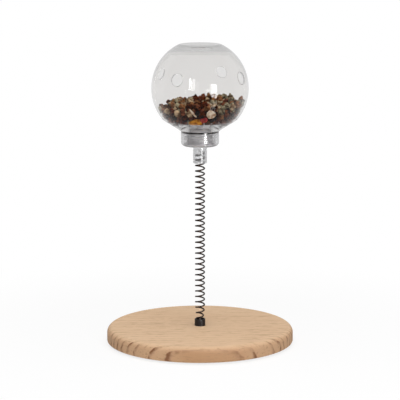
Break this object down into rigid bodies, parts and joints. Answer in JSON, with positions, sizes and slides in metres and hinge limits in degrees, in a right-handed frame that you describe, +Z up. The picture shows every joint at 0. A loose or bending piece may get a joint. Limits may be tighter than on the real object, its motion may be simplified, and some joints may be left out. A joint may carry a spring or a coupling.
{
  "type": "cat treat tumbler",
  "caption": "Clear ball jar of cat treats with holes round its wall, screwed upside down into a cap on a tall coil spring that stands on a round pine base.",
  "frame": {"origin": "centre of the plane that the foot pads rest on, on the axis of the disc and the spring", "axes": "+Z up along the spring, the front towards -Y, +X to the right as seen from the front"},
  "size_m": [0.19, 0.19, 0.3052],
  "materials": {
    "pine": "satin",
    "foot_foam": "matte",
    "zinc_steel": "satin",
    "black_plastic": "gloss",
    "spring_steel": "satin",
    "clear_cap_plastic": "gloss",
    "clear_jar_plastic": "gloss",
    "dry_treats": "matte"
  },
  "bodies": {
    "base": {"base_disc": "pine", "foot_pad_1": "foot_foam", "foot_pad_2": "foot_foam", "foot_pad_3": "foot_foam", "foot_pad_4": "foot_foam", "base_washer": "zinc_steel", "base_screw": "zinc_steel", "spring_seat": "black_plastic"},
    "spring": {"spring": "spring_steel"},
    "cap": {"screw_cap": "clear_cap_plastic"},
    "stopper": {"neck_plug": "clear_cap_plastic"},
    "jar": {"ball_jar": "clear_jar_plastic", "treats": "dry_treats"}
  },
  "joints": [
    {"name": "sway_front_back", "type": "hinge", "parent": "base", "child": "spring", "pos_m": [0, 0, 0.0644], "axis": [1, 0, 0], "range_deg": [-60, 60], "stiffness_Nm_per_rad": 1.2, "deforming": ["spring"]},
    {"name": "sway_left_right", "type": "hinge", "parent": "spring", "child": "cap", "pos_m": [0, 0, 0.1448], "axis": [0, 1, 0], "range_deg": [-60, 60], "stiffness_Nm_per_rad": 0.45, "deforming": ["spring"]},
    {"name": "jar_lift", "type": "slide", "parent": "cap", "child": "stopper", "axis": [0, 0, 1], "range_m": [0, 0.009]},
    {"name": "jar_turn", "type": "hinge", "parent": "stopper", "child": "jar", "pos_m": [0, 0, 0.26082], "axis": [0, 0, 1], "range_deg": [0, 1080]}
  ],
  "couplings": [
    {"joint": "jar_lift", "follows": "jar_turn", "m_per_rad": 0.00047746}
  ]
}
